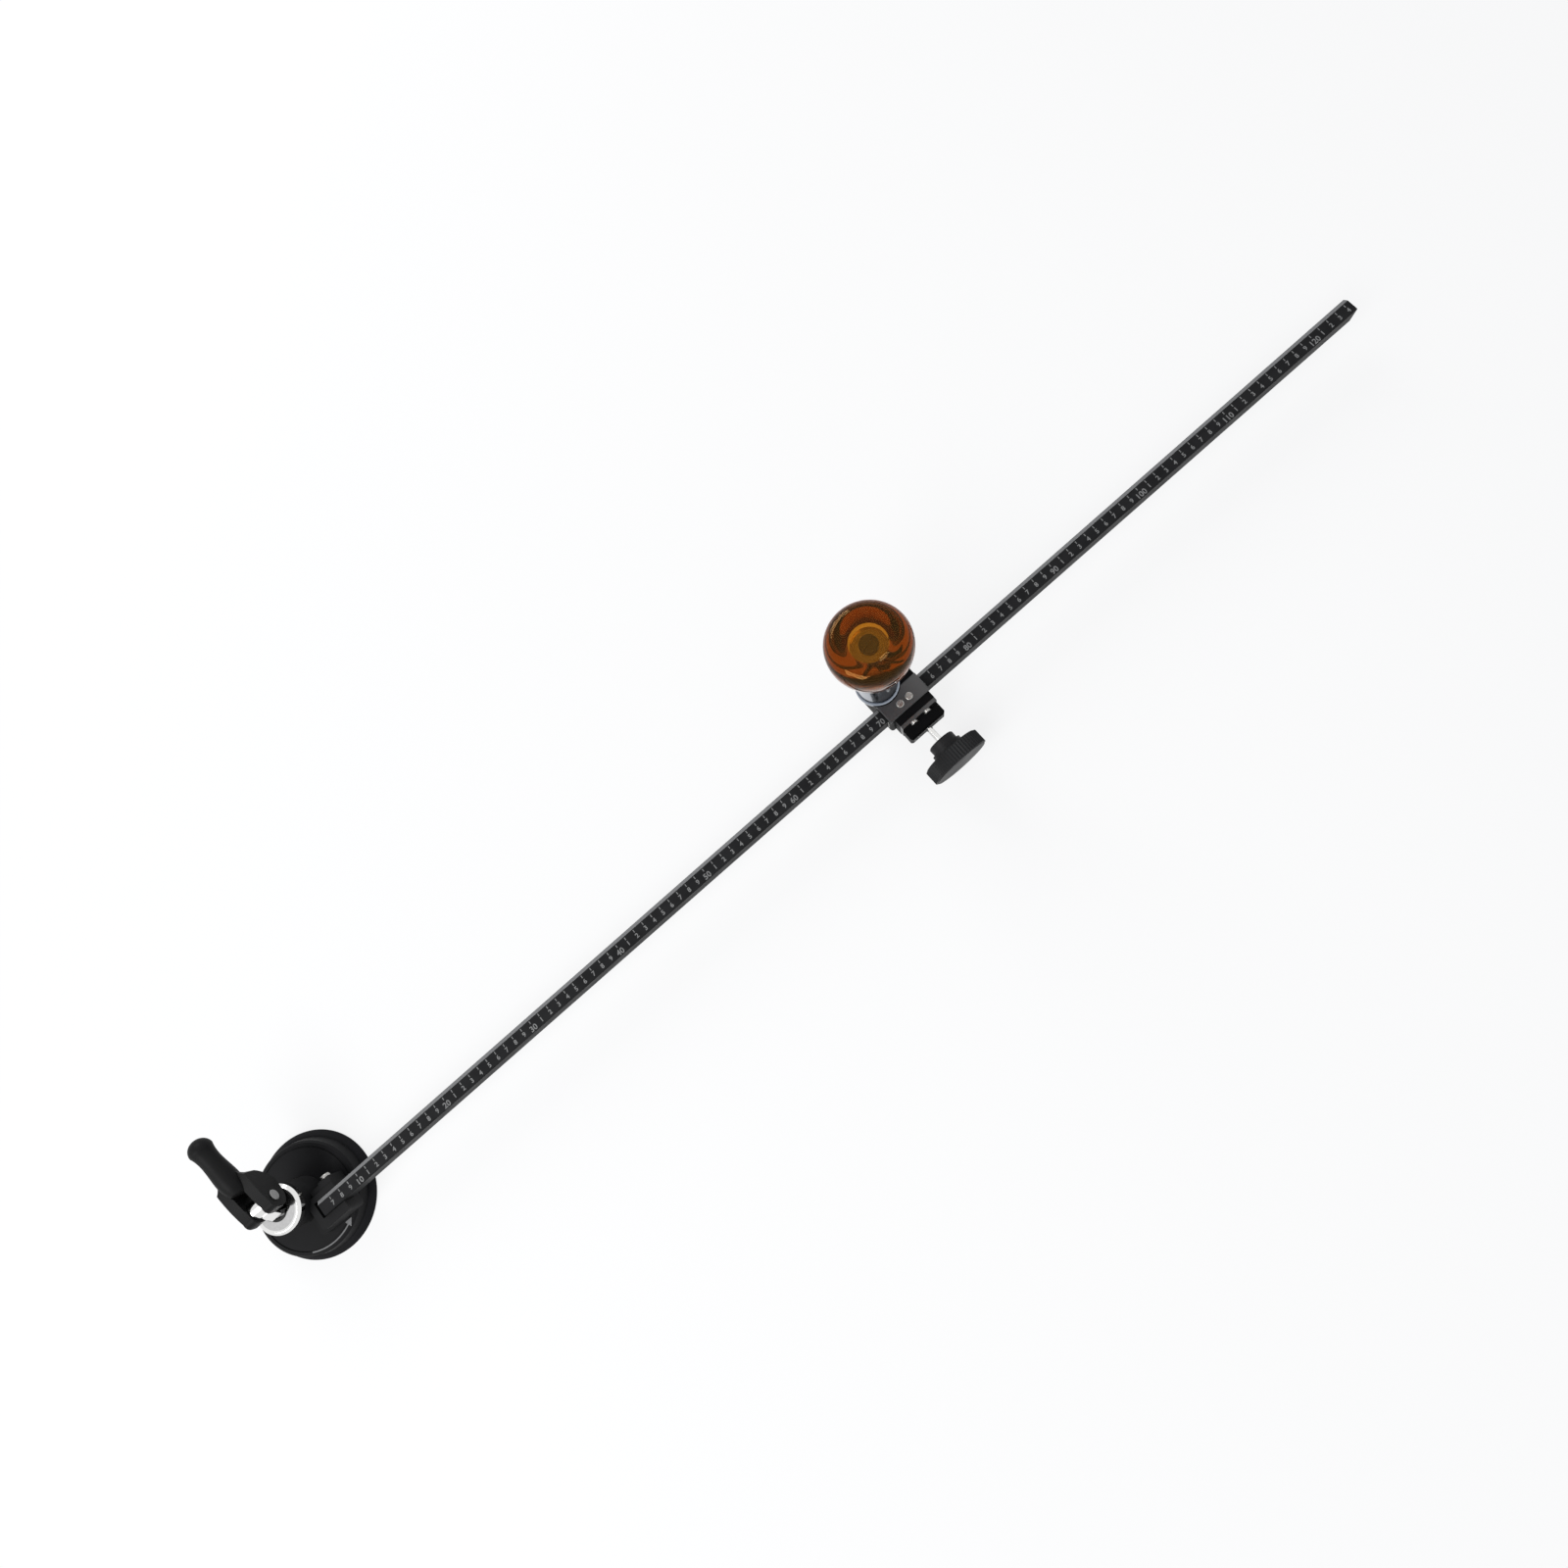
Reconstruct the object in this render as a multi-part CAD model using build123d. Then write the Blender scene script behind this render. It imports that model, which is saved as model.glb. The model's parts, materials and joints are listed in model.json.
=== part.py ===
from build123d import *
import math
import os

# Glass circle cutter: a suction pivot with a cam lever, a graduated bar and a sliding cutter head.
# Millimetres. +Z is up from the glass, +X runs out along the bar, +Y is the lever's side.
# The origin is on the pivot axis, in the plane of the glass.

# Shared clearances
running = 0.05
sliding = 0.15
free_gap = 0.3
overrun = 40.0

# Suction pad
pad_radius = 28.5
pad_lip_height = 1.0
pad_rim_radius = 27.6
pad_rim_height = 2.0
pad_top_radius = 26.1
pad_top = 3.2
pad_seal_radius = 22.5
pad_dome_mid_radius = 14.0
pad_dome_mid = 1.7
pad_dome_top = 2.5
pad_dome_flat_radius = 5.5
pad_boss_radius = 7.6
pad_boss_top = 6.6
pad_pocket_gap = 0.1

# Pull stud and its eye
stud_radius = 3.0
stud_flange_radius = 5.9
stud_flange_low = 4.0
stud_flange_high = 5.6
stud_flat_sink = 1.9
eye_radius = 4.2
eye_thickness = 5.2
pin_radius = 1.6
pin_offset = 4.0

# Cap over the pad
cap_radius = 25.7
cap_top_radius = 25.1
cap_top = 10.0
cap_edge = 0.9
cap_groove_radius = 22.9
cap_groove_width = 0.8
cap_groove_depth = 0.5
cap_cavity_radius = 9.2
cap_cavity_top = 8.4

# Pivot post, washers and collar
post_radius = 6.0
post_flange_radius = 8.6
post_flange_low = 7.0
post_sink = 1.6
washer_thickness = 0.8
upper_washer_thickness = 0.6
washer_radius = 9.6
upper_washer_radius = 9.4
hub_ring_radius = 10.0
hub_ring_height = 17.1
bush_radius = 7.1
collar_radius = 10.7
collar_top_radius = 9.5
collar_height = 4.0
collar_round = 1.2
collar_ease = 0.4

# Swivel hub
hub_plate_thickness = 4.7
hub_start = 6.3
hub_end = 21.3
hub_outer = -19.0
hub_wall_far = -4.4
hub_wall_height = 7.9
channel_start = 9.4
lug_start = 9.9
lug_end = 20.7
lug_side = -1.7
lug_step_start = 14.9
lug_face = -0.9
lug_height = 6.5
hub_corner = 2.0

# Graduated bar
bar_start = 11.5
bar_end = 605.7
bar_middle = -10.8
bar_width = 7.4
bar_height = 9.5
bar_bevel_width = 1.7
bar_bevel_drop = 1.5
bar_edge = 0.35
bar_screw_radius = 1.5
bar_screw_head_radius = 2.4
bar_screw_edge = 0.3
bar_screw_spacing = 5.1
bar_screw_last = hub_end - bar_screw_edge - bar_screw_head_radius
bar_screw_places = (bar_screw_last - bar_screw_spacing, bar_screw_last)
bar_screw_sink = 1.5
bar_screw_reach = 5.0
lug_screw_place = 17.9
lug_screw_rise = 3.3
lug_screw_radius = 1.25
lug_screw_head_radius = 2.3
lug_screw_head = 1.7
lug_screw_reach = 1.8
slot_width = 0.7
slot_depth = 0.8
screw_round_share = 0.33

# Cam lever
lever_half_width = 7.5
lever_slot_half_width = 2.9
lever_slot_end = 12.7
lever_cam_high = 7.5
lever_cam_low = 5.5
lever_turn = math.pi / 2
cam_steps = 8
nose_back = 5.4
nose_rise = 1.0
brow_back = 4.9
brow_rise = 3.0
crown_start = -2.2
crown_rise = 4.4
crown_end = 5.5
crown_end_rise = 7.0
neck_over = 17.0
neck_over_rise = 8.6
belly_flat_end = 7.4
belly_mid = 11.5
belly_mid_drop = 2.8
belly_up = 14.4
belly_up_rise = 5.7
lever_plan_shoulder = 17.5
lever_plan_flare = 19.2
lever_flare_half = 5.7
lever_plan_waist = 22.5
lever_waist_half = 4.6
handle_root_y = 17.0
handle_root_rise = 7.0
handle_tip_y = 36.1
handle_tip_rise = 11.6
handle_start_radius = 1.0
handle_root_radius = 4.9
handle_waist_radius = 4.4
handle_tip_radius = 5.15
handle_back = 8.0
handle_waist_share = 0.6
pin_head = 0.8
pin_head_radius = 2.5
pin_head_chamfer = 0.3

# Cutter head block
turret_middle = 352.4
block_back = 17.2
block_ahead = 5.0
block_under = 3.1
block_over = 4.0
block_face = -17.0
block_outer = -20.4
block_inner = 9.6
block_corner = 3.2
block_face_corner = 1.5
block_edge = 0.6
window_gap = 0.2
liner_thickness = 0.55
notch_back = 2.5
notch_gap = 0.6
stem_back = 10.2
stem_y = 0.0
stem_radius = 3.0
stem_sink = 1.8
stem_over = 10.6

# Index plate and its screws
plate_thickness = 1.4
plate_inner = -7.0
plate_neck_gap = 0.4
plate_edge = 0.3
index_screw_backs = (8.7, 3.7)
index_screw_turns = (35, -20)
index_screw_y = -13.3
index_screw_head_radius = 1.75
index_screw_head = 1.1
index_screw_radius = 0.8
index_screw_length = 3.6

# Clamp bracket, nut block and pressure pad
clamp_axis_back = 5.4
clamp_axis_rise = 4.7
clamp_half = 9.6
clamp_plate_thickness = 1.7
clamp_plate_foot = 1.8
clamp_plate_drop = 0.4
plate_screw_span = 7.3
plate_screw_drop = 2.7
plate_screw_head_radius = 1.7
plate_screw_head = 1.2
plate_screw_radius = 0.9
plate_screw_length = 4.2
nut_block_depth = 5.7
nut_block_half = 4.0
nut_block_edge = 0.8
nut_screw_span = 13.6
nut_screw_radius = 0.9
nut_screw_head_radius = 1.7
nut_screw_head = 1.6
nut_screw_length = 9.9
hex_share = 0.55
presser_radius = 2.3
presser_length = 1.6
presser_socket_depth = 0.9
clamp_radius = 1.5
clamp_tip_radius = 1.1
clamp_start = -35.5
clamp_hub_radius = 6.3
clamp_hub_start = -35.1
clamp_flange_radius = 7.4
clamp_flange_start = -38.9
clamp_disc_start = -41.4
clamp_disc_radius = 14.1
clamp_disc_thickness = 7.3
clamp_disc_chamfer = 0.5
clamp_dome = 0.2
clamp_hub_ease = 0.5
clamp_screw_sink = 5.0
knurl_count = 60
knurl_depth = 0.45
dome_mid_share = 0.65
dome_edge_share = 0.8
dome_inner_share = 0.45

# Wheel turret and its holder
turret_rim = 1.0
turret_thickness = 4.6
wheel_pitch_radius = 5.8
wheel_radius = 2.4
wheel_land_radius = 1.5
wheel_half = 0.5
wheel_gap = 0.15
wheel_pocket_radius = 2.65
wheel_count = 6
axle_radius = 0.5
holder_back = 16.8
holder_front_back = 2.8
holder_half = 6.4
holder_low = 3.0
holder_corner = 3.4
holder_screw_back = 14.5
holder_screw_span = 7.0
holder_screw_radius = 1.0
holder_screw_head_radius = 1.9
holder_screw_sink = 1.1
holder_screw_reach = 5.0
turret_screw_radius = 1.5
turret_screw_back = 11.9
turret_screw_head_radius = 3.1
turret_screw_head = 1.9
turret_slot_width = 0.9
turret_slot_depth = 0.9

# Neck sleeve, hand knob and its fittings
neck_flange_radius = 9.7
neck_flange_height = 2.4
neck_radius = 9.0
neck_groove_start = 4.0
neck_groove_end = 5.6
neck_groove_radius = 8.3
neck_length = 36.6
neck_spigot_radius = 8.0
neck_spigot = 11.8
neck_ease = 0.5
knob_washer_thickness = 0.5
knob_washer_radius = 6.2
knob_foot_gap = 0.4
knob_foot_radius = 11.9
knob_side = ((12.8, 0.9), (14.1, 5.5), (15.6, 12.0), (16.9, 18.5), (17.4, 23.5))
knob_crown = ((16.8, 27.4), (14.6, 30.2), (11.6, 31.0))
knob_dish = ((8.4, 30.3), (5.0, 29.5))
knob_dish_floor = 29.2
knob_bore_length = 25.2
insert_gap = 0.1
insert_length = 9.4
knob_screw_gap = 0.1
knob_screw_head_radius = 4.2
knob_screw_head = 2.4
knob_screw_radius = 1.5
knob_screw_length = 9.0
knob_slot_width = 1.1
knob_slot_depth = 1.0
knob_screw_turn = 25

# Derived heights and places at the pivot
lower_washer_top = cap_top + washer_thickness
hub_ring_top = lower_washer_top + hub_ring_height
hub_plate_top = lower_washer_top + hub_plate_thickness
hub_wall_top = hub_plate_top + hub_wall_height
lug_top = hub_plate_top + lug_height
lug_screw_height = hub_plate_top + lug_screw_rise
collar_low = hub_ring_top + upper_washer_thickness
collar_top = collar_low + collar_height
post_top = collar_top - post_sink
lever_drop = lever_cam_high - lever_cam_low
pin_height = collar_top + free_gap + lever_cam_high
pin_half = lever_half_width + pin_head
stud_flat_low = collar_top - stud_flat_sink
stud_neck_top = collar_top + lever_drop + free_gap
handle_root_z = pin_height + handle_root_rise
handle_tip_z = pin_height + handle_tip_rise
pivot_place = (0, 0)

# Derived heights and places at the cutter head
bar_low = hub_plate_top
bar_top = bar_low + bar_height
bar_near = bar_middle - bar_width / 2
bar_far = bar_middle + bar_width / 2
window_near = bar_near - sliding - liner_thickness
window_far = bar_far + sliding
window_low = bar_low - window_gap
window_top = bar_top + window_gap
block_start = turret_middle - block_back
block_end = turret_middle + block_ahead
block_low = bar_low - block_under
block_top = bar_top + block_over
notch_start = turret_middle - notch_back
plate_top = block_top + plate_thickness
index_screw_places = [turret_middle - back for back in index_screw_backs]
clamp_axis_x = turret_middle - clamp_axis_back
clamp_axis_z = bar_low + clamp_axis_rise
clamp_plate_low = block_low + clamp_plate_foot
clamp_plate_top = block_top - clamp_plate_drop
clamp_plate_outer = block_outer - clamp_plate_thickness
plate_screw_height = block_top - plate_screw_drop
nut_block_low = clamp_axis_z - nut_block_half
nut_block_top = clamp_axis_z + nut_block_half
nut_outer = clamp_plate_outer - nut_block_depth
nut_screw_height = clamp_axis_z
turret_radius = wheel_pitch_radius + turret_rim
turret_height = wheel_pitch_radius + wheel_radius
turret_near = turret_middle - turret_thickness / 2
turret_far = turret_middle + turret_thickness / 2
holder_start = turret_middle - holder_back
holder_end = turret_middle - holder_front_back
holder_screw_x = turret_middle - holder_screw_back
turret_screw_start = turret_middle - turret_screw_back
stem_x = turret_middle - stem_back
stem_place = (stem_x, stem_y)
stem_low = block_low - stem_sink
neck_shoulder = block_top + neck_length
neck_top = neck_shoulder + neck_spigot
stem_top = neck_top + stem_over
knob_washer_top = neck_top + knob_washer_thickness
knob_low = neck_shoulder + knob_foot_gap
knob_bore_top = knob_low + knob_bore_length
insert_low = knob_washer_top + insert_gap
insert_top = insert_low + insert_length
knob_screw_head_low = stem_top + knob_screw_gap


def block(low, high):
    """A box between two corners."""
    size = [high[i] - low[i] for i in range(3)]
    middle = [(high[i] + low[i]) / 2 for i in range(3)]
    return Pos(*middle) * Box(*size)


def rod(radius, start, end):
    """A round rod from one point to another."""
    along = Vector(*end) - Vector(*start)
    return extrude(Plane(origin=start, z_dir=along) * Circle(radius), amount=along.length)


def upright(radius, low, high, place=pivot_place):
    """An upright round rod at a place in plan."""
    return rod(radius, (place[0], place[1], low), (place[0], place[1], high))


def cone(radius, end_radius, start, end):
    """A cone from one point to another."""
    along = Vector(*end) - Vector(*start)
    return Solid.make_cone(radius, end_radius, along.length, Plane(origin=start, z_dir=along))


def ring(outer, inner, low, high, place=pivot_place):
    """An upright ring or tube."""
    return upright(outer, low, high, place) - upright(inner, low - overrun, high + overrun, place)


def turned(points, place=pivot_place):
    """A solid turned about an upright axis from radius and height pairs."""
    outline = Polyline(*[(radius, 0, height) for radius, height in points], close=True)
    return Pos(place[0], place[1], 0) * revolve(make_face(outline), Axis.Z)


def slab_outline(points, low, high):
    """A plan outline raised between two heights."""
    outline = Polyline(*[(x, y, low) for x, y in points], close=True)
    return extrude(make_face(outline), amount=high - low, dir=(0, 0, 1))


def group(solids):
    """Several separate solids in one node."""
    return Compound(children=[solid.solid() for solid in solids])


def slotted_screw(head_radius, head, shank_radius, length, cut_width, cut_depth):
    """A round headed screw with a straight slot, seated at the origin with its shank downward."""
    body = upright(head_radius, 0, head) + upright(shank_radius, -length, 0)
    rim = body.edges().group_by(Axis.Z)[-1]
    body = fillet(rim, head * screw_round_share)
    cut = block((-overrun, -cut_width / 2, head - cut_depth), (overrun, cut_width / 2, overrun))
    return body - cut


def socket_screw(head_radius, head, shank_radius, length):
    """A cap screw with a six sided socket, its head top at the origin and its shank downward."""
    body = upright(head_radius, -head, 0) + upright(shank_radius, -length, -head)
    socket = extrude(RegularPolygon(head_radius * hex_share, 6), amount=-head * hex_share)
    return body - socket


def sunk_screw(head_radius, sink, shank_radius, length):
    """A flush screw with a cone head, its head top at the origin and its shank downward."""
    body = cone(head_radius, shank_radius, (0, 0, 0), (0, 0, -sink))
    body = body + upright(shank_radius, -length, -sink)
    socket = extrude(RegularPolygon(head_radius * hex_share, 6), amount=-sink * hex_share)
    return body - socket


def suction_pad():
    """Soft pad, drawn up at its middle, with a moulded pocket for the stud's flange."""
    pocket_low = stud_flange_low - pad_pocket_gap
    pocket_high = stud_flange_high + pad_pocket_gap
    pocket_radius = stud_flange_radius + pad_pocket_gap
    hole = stud_radius + pad_pocket_gap
    points = [
        (0, pad_dome_top),
        (pad_dome_flat_radius, pad_dome_top),
        (pad_dome_mid_radius, pad_dome_mid),
        (pad_seal_radius, 0),
        (pad_radius, 0),
        (pad_radius, pad_lip_height),
        (pad_rim_radius, pad_rim_height),
        (pad_top_radius, pad_top),
        (pad_boss_radius, pad_top),
        (pad_boss_radius, pad_boss_top),
        (hole, pad_boss_top),
        (hole, pocket_high),
        (pocket_radius, pocket_high),
        (pocket_radius, pocket_low),
        (0, pocket_low),
    ]
    return turned(points)


def pad_housing():
    """Round cap over the pad, hollow at its middle for the pad's boss."""
    points = [
        (cap_cavity_radius, pad_top),
        (cap_radius, pad_top),
        (cap_top_radius, cap_top - cap_edge),
        (cap_top_radius - cap_edge, cap_top),
        (post_radius, cap_top),
        (post_radius, cap_cavity_top),
        (cap_cavity_radius, cap_cavity_top),
    ]
    groove_low = cap_top - cap_groove_depth
    groove_inner = cap_groove_radius - cap_groove_width
    return turned(points) - ring(cap_groove_radius, groove_inner, groove_low, cap_top + overrun)


def pivot_post():
    """Tube the arm turns on, flanged under the cap."""
    points = [
        (stud_radius + running, post_flange_low),
        (post_flange_radius, post_flange_low),
        (post_flange_radius, cap_cavity_top),
        (post_radius, cap_cavity_top),
        (post_radius, post_top),
        (stud_radius + running, post_top),
    ]
    return turned(points)


def chrome_collar():
    """Bright collar on top of the post that the lever's cam bears on."""
    body = turned([
        (post_radius, collar_low),
        (collar_radius, collar_low),
        (collar_radius, collar_top - collar_round),
        (collar_top_radius, collar_top),
        (stud_radius + running, collar_top),
        (stud_radius + running, post_top),
        (post_radius, post_top),
    ])
    rim = body.edges().filter_by(GeomType.CIRCLE).filter_by(lambda e: e.radius > collar_top_radius - running)
    rim = rim.group_by(Axis.Z)
    return fillet(rim[-2] + rim[-1], collar_ease)


def pull_stud():
    """Stud from the pad's flange up to the flat eye that holds the lever's pin."""
    half = eye_thickness / 2
    flats = block((-half, -overrun, 0), (half, overrun, overrun))
    body = upright(stud_flange_radius, stud_flange_low, stud_flange_high)
    body = body + upright(stud_radius, stud_flange_high, stud_flat_low)
    body = body + (upright(stud_radius, stud_flat_low, stud_neck_top) & flats)
    sides = Polyline(
        (-half, -stud_radius, stud_neck_top),
        (-half, stud_radius, stud_neck_top),
        (-half, pin_offset + eye_radius, pin_height),
        (-half, pin_offset - eye_radius, pin_height),
        close=True,
    )
    web = extrude(make_face(sides), amount=eye_thickness, dir=(1, 0, 0))
    eye = rod(eye_radius, (-half, pin_offset, pin_height), (half, pin_offset, pin_height))
    body = body + web + eye
    bore = pin_radius + running
    return body - rod(bore, (-overrun, pin_offset, pin_height), (overrun, pin_offset, pin_height))


def cam_points():
    """Cam outline whose height over the collar falls evenly as the lever turns up."""
    fall = (lever_cam_high - lever_cam_low) / lever_turn
    points = []
    for step in range(cam_steps + 1):
        turn = lever_turn * step / cam_steps
        reach = lever_cam_high - fall * turn
        y = -reach * math.sin(turn) + fall * math.cos(turn)
        z = -reach * math.cos(turn) - fall * math.sin(turn)
        points.append((pin_offset + y, pin_height + z))
    return points


def lever_side():
    """Side outline of the lever's forked head, in Y and Z."""
    cam = cam_points()
    back = [
        cam[-1],
        (pin_offset - nose_back, pin_height + nose_rise),
        (pin_offset - brow_back, pin_height + brow_rise),
        (pin_offset + crown_start, pin_height + crown_rise),
    ]
    top = [
        back[-1],
        (pin_offset + crown_end, pin_height + crown_end_rise),
        (pin_offset + neck_over, pin_height + neck_over_rise),
    ]
    belly = [
        (pin_offset + belly_up, pin_height + belly_up_rise),
        (pin_offset + belly_mid, pin_height - belly_mid_drop),
        (pin_offset + belly_flat_end, pin_height - lever_cam_high),
    ]
    edges = [Spline(*cam), Spline(*back), Spline(*top), Line(top[-1], belly[0]), Spline(*belly),
             Line(belly[-1], cam[0])]
    return make_face(edges)


def lever_plan():
    """Plan outline of the lever's forked head, flared from the handle's neck."""
    flare = [
        (lever_half_width, lever_plan_shoulder),
        (lever_flare_half, lever_plan_flare),
        (lever_waist_half, lever_plan_waist),
    ]
    other = [(-x, y) for x, y in reversed(flare)]
    corners = [(-lever_half_width, -overrun), (lever_half_width, -overrun)]
    edges = [Line(*corners), Line(corners[1], flare[0]), Spline(*flare), Line(flare[-1], other[0]),
             Spline(*other), Line(other[-1], corners[0])]
    return make_face(edges)


def lever_handle():
    """Waisted round handle with a domed tip, faded into the head."""
    root = Vector(0, handle_root_y, handle_root_z)
    tip = Vector(0, handle_tip_y, handle_tip_z)
    length = (tip - root).length
    side = Spline(
        (handle_start_radius, 0, -handle_back),
        (handle_root_radius, 0, 0),
        (handle_waist_radius, 0, length * handle_waist_share),
        (handle_tip_radius, 0, length),
    )
    slant = handle_tip_radius * math.cos(math.pi / 4)
    end = ThreePointArc((handle_tip_radius, 0, length), (slant, 0, length + slant),
                        (0, 0, length + handle_tip_radius))
    back = Polyline((0, 0, length + handle_tip_radius), (0, 0, -handle_back),
                    (handle_start_radius, 0, -handle_back))
    handle = revolve(make_face([side, end, back]), Axis.Z)
    return Plane(origin=root, z_dir=tip - root, x_dir=(1, 0, 0)) * handle


def cam_lever():
    """Lever with a forked head, a cam under each cheek and a round handle."""
    head = extrude(Plane.YZ * lever_side(), amount=lever_half_width, both=True)
    head = head & extrude(lever_plan(), amount=overrun + overrun, dir=(0, 0, 1))
    body = head + lever_handle()
    body = body - block((-lever_slot_half_width, -overrun, 0),
                        (lever_slot_half_width, lever_slot_end, overrun + overrun))
    return body - rod(pin_radius, (-overrun, pin_offset, pin_height), (overrun, pin_offset, pin_height))


def lever_pin():
    """Pin through the lever's cheeks and the stud's eye, with a flat head at each end."""
    pin = rod(pin_radius, (-pin_half, pin_offset, pin_height), (pin_half, pin_offset, pin_height))
    for side in (-1, 1):
        seat = (side * lever_half_width, pin_offset, pin_height)
        pin = pin + rod(pin_head_radius, seat, (side * pin_half, pin_offset, pin_height))
    rims = pin.edges().filter_by(GeomType.CIRCLE).filter_by(lambda e: abs(e.center().X) > pin_half - running)
    return chamfer(rims, pin_head_chamfer)


def bar_screw_seats():
    """Places of the screws under the bar."""
    return [Pos(x, bar_middle, lower_washer_top) * Rot(180, 0, 0) for x in bar_screw_places]


def lug_screw_seat():
    """Place of the screw through the lug."""
    return Pos(lug_screw_place, lug_face, lug_screw_height) * Rot(-90, 0, 0)


def swivel_hub():
    """Turning hub: a ring on the post, a channel with a closed end for the bar, and a stepped lug."""
    plate = [
        (0, hub_outer),
        (hub_end, hub_outer),
        (hub_end, hub_wall_far),
        (lug_end, hub_wall_far),
        (lug_end, lug_side),
        (0, lug_side),
    ]
    body = slab_outline(plate, lower_washer_top, hub_plate_top)
    walls = block((hub_start, hub_outer, lower_washer_top), (hub_end, hub_wall_far, hub_wall_top))
    channel = block((channel_start, bar_near - sliding, hub_plate_top),
                    (overrun, bar_far + sliding, overrun))
    body = body + (walls - channel)
    body = body + block((lug_start, hub_wall_far, lower_washer_top), (lug_end, lug_side, lug_top))
    body = body + block((lug_step_start, lug_side, lower_washer_top), (lug_end, lug_face, lug_top))
    corners = body.edges().filter_by(Axis.Z).filter_by(lambda e: e.center().Y < hub_outer + hub_corner)
    body = fillet(corners, hub_corner)
    body = body + upright(hub_ring_radius, lower_washer_top, hub_ring_top)
    body = body - upright(bush_radius, 0, overrun)
    length = hub_plate_top - lower_washer_top + bar_screw_reach
    for seat in bar_screw_seats():
        body = body - seat * sunk_screw_space(bar_screw_head_radius, bar_screw_sink,
                                              bar_screw_radius, length)
    bore_end = (lug_screw_place, bar_near, lug_screw_height)
    return body - rod(lug_screw_radius, (lug_screw_place, overrun, lug_screw_height), bore_end)


def sunk_screw_space(head_radius, sink, shank_radius, length):
    """The room a flush screw takes."""
    space = cone(head_radius, shank_radius, (0, 0, 0), (0, 0, -sink))
    return space + upright(shank_radius, -length, -sink)


def scale_bar():
    """Graduated bar, bevelled along its upper edge on the lever's side."""
    section = [
        (bar_near + bar_edge, bar_low),
        (bar_far - bar_edge, bar_low),
        (bar_far, bar_low + bar_edge),
        (bar_far, bar_top - bar_bevel_drop),
        (bar_far - bar_bevel_width, bar_top),
        (bar_near + bar_edge, bar_top),
        (bar_near, bar_top - bar_edge),
        (bar_near, bar_low + bar_edge),
    ]
    outline = Polyline(*[(bar_start, y, z) for y, z in section], close=True)
    body = extrude(make_face(outline), amount=bar_end - bar_start, dir=(1, 0, 0))
    length = hub_plate_top - lower_washer_top + bar_screw_reach
    for seat in bar_screw_seats():
        body = body - seat * upright(bar_screw_radius, -length, 0)
    depth = bar_far - lug_screw_reach
    return body - rod(lug_screw_radius, (lug_screw_place, overrun, lug_screw_height),
                      (lug_screw_place, depth, lug_screw_height))


def bar_screws():
    """Two flush screws that hold the bar on its seat."""
    length = hub_plate_top - lower_washer_top + bar_screw_reach
    screw = sunk_screw(bar_screw_head_radius, bar_screw_sink, bar_screw_radius, length)
    return group([seat * screw for seat in bar_screw_seats()])


def lug_screw():
    """Side screw through the lug into the bar."""
    length = lug_face - bar_far + lug_screw_reach
    screw = slotted_screw(lug_screw_head_radius, lug_screw_head, lug_screw_radius, length,
                          slot_width, slot_depth)
    return lug_screw_seat() * screw


def head_block():
    """Sliding block around the bar, with the seat for the hand knob's neck."""
    body = block((block_start, block_face, block_low), (block_end, block_inner, block_top))
    corners = body.edges().filter_by(Axis.Z).group_by(Axis.Y)
    body = fillet(corners[-1], block_corner)
    body = fillet(body.edges().filter_by(Axis.Z).group_by(Axis.Y)[0], block_face_corner)
    roof = body.faces().sort_by(Axis.Z)[-1]
    body = chamfer(roof.edges().filter_by(Axis.Y), block_edge)
    body = body + block((clamp_axis_x - clamp_half, block_outer, block_low),
                        (clamp_axis_x + clamp_half, window_near, block_top))
    body = body - block((block_start - overrun, window_near, window_low),
                        (block_end + overrun, window_far, window_top))
    recess = wheel_pitch_radius + wheel_radius + notch_gap
    body = body - rod(recess, (notch_start, stem_y, turret_height),
                      (block_end + overrun, stem_y, turret_height))
    body = body - block((notch_start, stem_y, 0), (block_end + overrun, overrun, turret_height + recess))
    body = body - upright(stem_radius, 0, overrun, stem_place)
    for x in index_screw_places:
        low = plate_top - index_screw_length - plate_thickness
        body = body - upright(index_screw_radius, low, overrun, (x, index_screw_y))
    body = body - rod(presser_radius + running, (clamp_axis_x, block_outer, clamp_axis_z),
                      (clamp_axis_x, bar_near, clamp_axis_z))
    for x in plate_screw_xs():
        end = clamp_plate_outer + plate_screw_length
        body = body - rod(plate_screw_radius, (x, clamp_plate_outer, plate_screw_height),
                          (x, end, plate_screw_height))
    for x in nut_screw_xs():
        end = nut_outer + nut_screw_length
        body = body - rod(nut_screw_radius, (x, nut_outer, nut_screw_height), (x, end, nut_screw_height))
    for y in holder_screw_ys():
        body = body - upright(holder_screw_radius, 0, block_low + holder_screw_reach, (holder_screw_x, y))
    return body


def index_plate():
    """Bright plate over the bar that carries the reading edge."""
    plate = block((block_start, block_face, block_top), (block_end, plate_inner, plate_top))
    plate = chamfer(plate.faces().sort_by(Axis.Z)[-1].edges(), plate_edge)
    plate = plate - upright(neck_flange_radius + plate_neck_gap, 0, overrun + overrun, stem_place)
    for x in index_screw_places:
        plate = plate - upright(index_screw_radius, 0, overrun, (x, index_screw_y))
    return plate


def index_screws():
    """Two small screws in the index plate."""
    screw = slotted_screw(index_screw_head_radius, index_screw_head, index_screw_radius,
                          index_screw_length, slot_width, slot_depth)
    places = zip(index_screw_places, index_screw_turns)
    return group([Pos(x, index_screw_y, plate_top) * Rot(0, 0, turn) * screw for x, turn in places])


def bar_liner():
    """Soft strip between the presser and the bar's side."""
    return block((block_start, window_near, window_low), (block_end, bar_near - sliding, window_top))


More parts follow.
